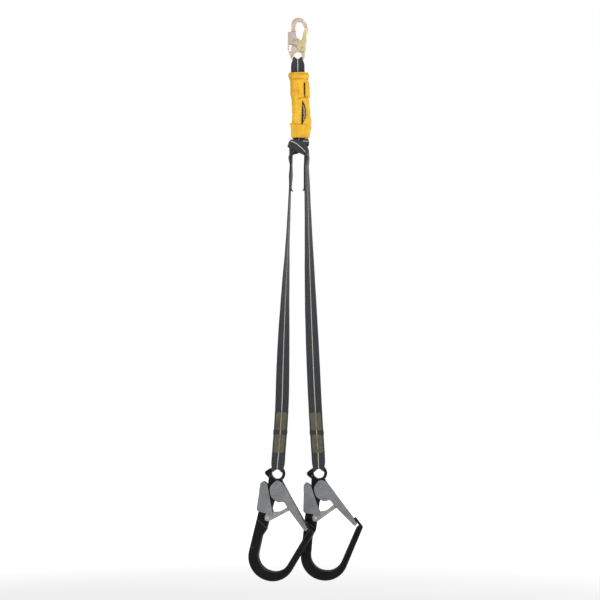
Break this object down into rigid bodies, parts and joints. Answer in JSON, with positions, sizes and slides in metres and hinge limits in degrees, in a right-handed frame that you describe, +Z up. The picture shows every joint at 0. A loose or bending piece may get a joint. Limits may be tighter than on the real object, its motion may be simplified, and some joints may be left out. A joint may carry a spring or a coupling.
{
  "type": "shock absorbing lanyard",
  "caption": "Twin leg shock absorbing lanyard: snap hook, covered tear-web absorber pack, webbing legs and large rebar hooks with gates, palm levers and struts.",
  "frame": {"origin": "inside of the snap hook's bow, where the harness or anchor ring bears, with the lanyard hanging below", "axes": "+Z up along the hanging lanyard, +X to the right seen from the front, +Y to the back"},
  "size_m": [0.3827, 0.0711, 1.8764],
  "materials": {
    "zinc_plated_steel": "pale yellow zinc plate on forged steel",
    "zinc_plated_sheet": "pale yellow zinc plate on pressed sheet",
    "silver_sheet": "pale silver and pink zinc plate on pressed sheet",
    "rivet_steel": "plated steel, brushed",
    "rivet_dark": "dark plated steel",
    "spring_steel": "spring wire",
    "charcoal_webbing": "woven polyester webbing, with a pale tracer thread",
    "tear_webbing": "folded tear webbing",
    "yellow_cover": "woven nylon cloth",
    "label_leaf": "blank coated leaves",
    "olive_thread": "sewing thread",
    "black_coated_alloy": "black satin coat on forged alloy",
    "grey_coated_sheet": "dark grey satin coat on pressed sheet",
    "pale_plated_sheet": "pale zinc plate on pressed sheet"
  },
  "bodies": {
    "snap_hook": {"snap_hook_body": "zinc_plated_steel", "snap_hook_gate_rivet": "rivet_steel", "snap_hook_lever_rivet": "rivet_steel", "snap_hook_gate_spring": "spring_steel", "snap_hook_lever_spring": "spring_steel"},
    "snap_gate": {"snap_hook_gate": "zinc_plated_sheet"},
    "snap_lever": {"snap_hook_lock_lever": "silver_sheet"},
    "absorber": {"absorber_upper_loop": "charcoal_webbing", "absorber_lower_loop": "charcoal_webbing", "leg_choke_hitch": "charcoal_webbing", "tear_webbing_core": "tear_webbing", "absorber_cover": "yellow_cover", "cover_upper_flap": "yellow_cover", "warning_label_leaves": "label_leaf", "upper_collar": "yellow_cover", "lower_wrap_band": "yellow_cover"},
    "left_leg": {"left_leg_webbing": "charcoal_webbing", "left_leg_stitching": "olive_thread"},
    "left_hook": {"left_hook_body": "black_coated_alloy", "left_gate_rivet": "rivet_dark", "left_lever_rivet": "rivet_dark", "left_strut_rivet": "rivet_steel", "left_gate_spring": "spring_steel", "left_lever_spring": "spring_steel"},
    "left_hook_gate": {"left_gate": "grey_coated_sheet"},
    "left_hook_lever": {"left_palm_lever": "grey_coated_sheet"},
    "left_hook_strut": {"left_lock_strut": "pale_plated_sheet"},
    "right_leg": {"right_leg_webbing": "charcoal_webbing", "right_leg_stitching": "olive_thread"},
    "right_hook": {"right_hook_body": "black_coated_alloy", "right_gate_rivet": "rivet_dark", "right_lever_rivet": "rivet_dark", "right_strut_rivet": "rivet_steel", "right_gate_spring": "spring_steel", "right_lever_spring": "spring_steel"},
    "right_hook_gate": {"right_gate": "grey_coated_sheet"},
    "right_hook_lever": {"right_palm_lever": "grey_coated_sheet"},
    "right_hook_strut": {"right_lock_strut": "pale_plated_sheet"}
  },
  "joints": [
    {"name": "snap_gate_swing", "type": "hinge", "parent": "snap_hook", "child": "snap_gate", "pos_m": [0.012, 0, -0.0875], "axis": [0, -1, 0], "range_deg": [0, 22], "stiffness_Nm_per_rad": 0.15, "springref_deg": -34.38},
    {"name": "snap_lever_squeeze", "type": "hinge", "parent": "snap_hook", "child": "snap_lever", "pos_m": [-0.015, 0, -0.062], "axis": [0, -1, 0], "range_deg": [0, 6]},
    {"name": "absorber_swing", "type": "hinge", "parent": "snap_hook", "child": "absorber", "pos_m": [-0.0024, 0, -0.1135], "axis": [0, 1, 0], "range_deg": [-12, 12]},
    {"name": "left_leg_swing", "type": "hinge", "parent": "absorber", "child": "left_leg", "pos_m": [-0.024, 0, -0.43], "axis": [0, 1, 0], "range_deg": [0, 60]},
    {"name": "left_hook_swing", "type": "hinge", "parent": "left_leg", "child": "left_hook", "pos_m": [-0.0707, -0.01, -1.504], "axis": [0.1736, 0.9848, 0], "range_deg": [-25, 8]},
    {"name": "left_gate_swing", "type": "hinge", "parent": "left_hook", "child": "left_hook_gate", "pos_m": [-0.06886, -0.01032, -1.54764], "axis": [0.1736, 0.9848, 0], "range_deg": [0, 40], "stiffness_Nm_per_rad": 0.6, "springref_deg": -45.84},
    {"name": "left_palm_lever_squeeze", "type": "hinge", "parent": "left_hook", "child": "left_hook_lever", "pos_m": [-0.09856, -0.00509, -1.60468], "axis": [0.1736, 0.9848, 0], "range_deg": [0, 12]},
    {"name": "left_strut_fold", "type": "hinge", "parent": "left_hook", "child": "left_hook_strut", "pos_m": [-0.10076, -0.0047, -1.65042], "axis": [-0.1736, -0.9848, 0], "range_deg": [0, 48]},
    {"name": "right_leg_swing", "type": "hinge", "parent": "absorber", "child": "right_leg", "pos_m": [0.026, 0, -0.43], "axis": [0, -1, 0], "range_deg": [0, 60]},
    {"name": "right_hook_swing", "type": "hinge", "parent": "right_leg", "child": "right_hook", "pos_m": [0.0685, 0.011, -1.5047], "axis": [0.0698, 0.9976, 0], "range_deg": [-25, 8]},
    {"name": "right_gate_swing", "type": "hinge", "parent": "right_hook", "child": "right_hook_gate", "pos_m": [0.07603, 0.01047, -1.54772], "axis": [0.0698, 0.9976, 0], "range_deg": [0, 40], "stiffness_Nm_per_rad": 0.6, "springref_deg": -45.84},
    {"name": "right_palm_lever_squeeze", "type": "hinge", "parent": "right_hook", "child": "right_hook_lever", "pos_m": [0.05364, 0.01204, -1.60821], "axis": [0.0698, 0.9976, 0], "range_deg": [0, 12]},
    {"name": "right_strut_fold", "type": "hinge", "parent": "right_hook", "child": "right_hook_strut", "pos_m": [0.05738, 0.01178, -1.65385], "axis": [-0.0698, -0.9976, 0], "range_deg": [0, 48]}
  ],
  "couplings": [
    {"joint": "snap_lever_squeeze", "follows": "snap_gate_swing", "ratio": 0.2727},
    {"joint": "left_palm_lever_squeeze", "follows": "left_gate_swing", "ratio": 0.3},
    {"joint": "left_strut_fold", "follows": "left_gate_swing", "ratio": 1.2},
    {"joint": "right_palm_lever_squeeze", "follows": "right_gate_swing", "ratio": 0.3},
    {"joint": "right_strut_fold", "follows": "right_gate_swing", "ratio": 1.2}
  ]
}
